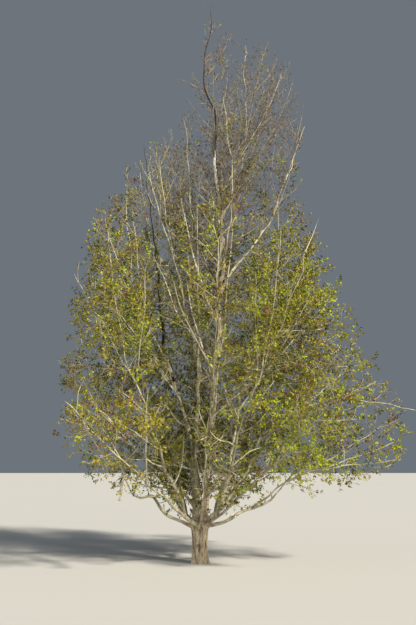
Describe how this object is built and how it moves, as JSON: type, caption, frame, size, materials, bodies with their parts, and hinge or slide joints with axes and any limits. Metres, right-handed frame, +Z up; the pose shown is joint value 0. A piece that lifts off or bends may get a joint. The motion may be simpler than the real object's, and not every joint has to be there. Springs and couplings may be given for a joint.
{
  "type": "tree",
  "caption": "Tall thorn tree dying back from the top: short fluted trunk, many rising boughs, thin autumn leaves below and bare spires above.",
  "frame": {"origin": "middle of the flat cut through the trunk at ground level", "axes": "+Z up along the height, +X to the right and +Y to the back as seen in the picture"},
  "size_m": [6.2456, 5.4751, 10.5095],
  "materials": {
    "trunk_bark": "rough fissured bark",
    "bough_bark": "pale lichened bark",
    "leafy_twigs": "matt leaves on thin twigs",
    "bare_twigs": "matt bare twigs"
  },
  "bodies": {
    "root": {"back_bough": "bough_bark", "back_high_bough": "bough_bark", "back_high_mass": "leafy_twigs", "back_left_bough": "bough_bark", "back_left_mass": "leafy_twigs", "back_left_stem_bough": "bough_bark", "back_left_stem_mass": "leafy_twigs", "back_mass": "leafy_twigs", "back_right_bough": "bough_bark", "back_right_mass": "leafy_twigs", "back_right_stem_bough": "bough_bark", "back_right_stem_mass": "leafy_twigs", "back_stem_bough": "bough_bark", "back_stem_mass": "leafy_twigs", "dark_bough": "bough_bark", "dark_mass": "leafy_twigs", "far_spire_bough": "bough_bark", "far_spire_mass": "bare_twigs", "front_bough": "bough_bark", "front_high_bough": "bough_bark", "front_high_mass": "leafy_twigs", "front_left_bough": "bough_bark", "front_left_mass": "leafy_twigs", "front_left_stem_bough": "bough_bark", "front_left_stem_mass": "leafy_twigs", "front_mass": "bare_twigs", "front_right_bough": "bough_bark", "front_right_mass": "leafy_twigs", "front_right_stem_bough": "bough_bark", "front_right_stem_mass": "leafy_twigs", "front_stem_bough": "bough_bark", "front_stem_mass": "leafy_twigs", "leader_bough": "trunk_bark", "leader_mass": "bare_twigs", "left_high_bough": "bough_bark", "left_high_mass": "bare_twigs", "left_stem_bough": "bough_bark", "left_stem_mass": "leafy_twigs", "low_left_bough": "bough_bark", "low_left_mass": "leafy_twigs", "low_right_bough": "bough_bark", "low_right_mass": "leafy_twigs", "middle_bough": "bough_bark", "middle_mass": "leafy_twigs", "pale_bough": "bough_bark", "pale_mass": "leafy_twigs", "right_arch_bough": "bough_bark", "right_arch_mass": "leafy_twigs", "right_fork_bough": "bough_bark", "right_fork_mass": "leafy_twigs", "right_high_bough": "bough_bark", "right_high_mass": "bare_twigs", "right_reach_bough": "bough_bark", "right_reach_mass": "leafy_twigs", "right_spire_bough": "bough_bark", "right_spire_mass": "bare_twigs", "right_stem_bough": "bough_bark", "right_stem_mass": "leafy_twigs", "trunk": "trunk_bark"}
  },
  "joints": []
}
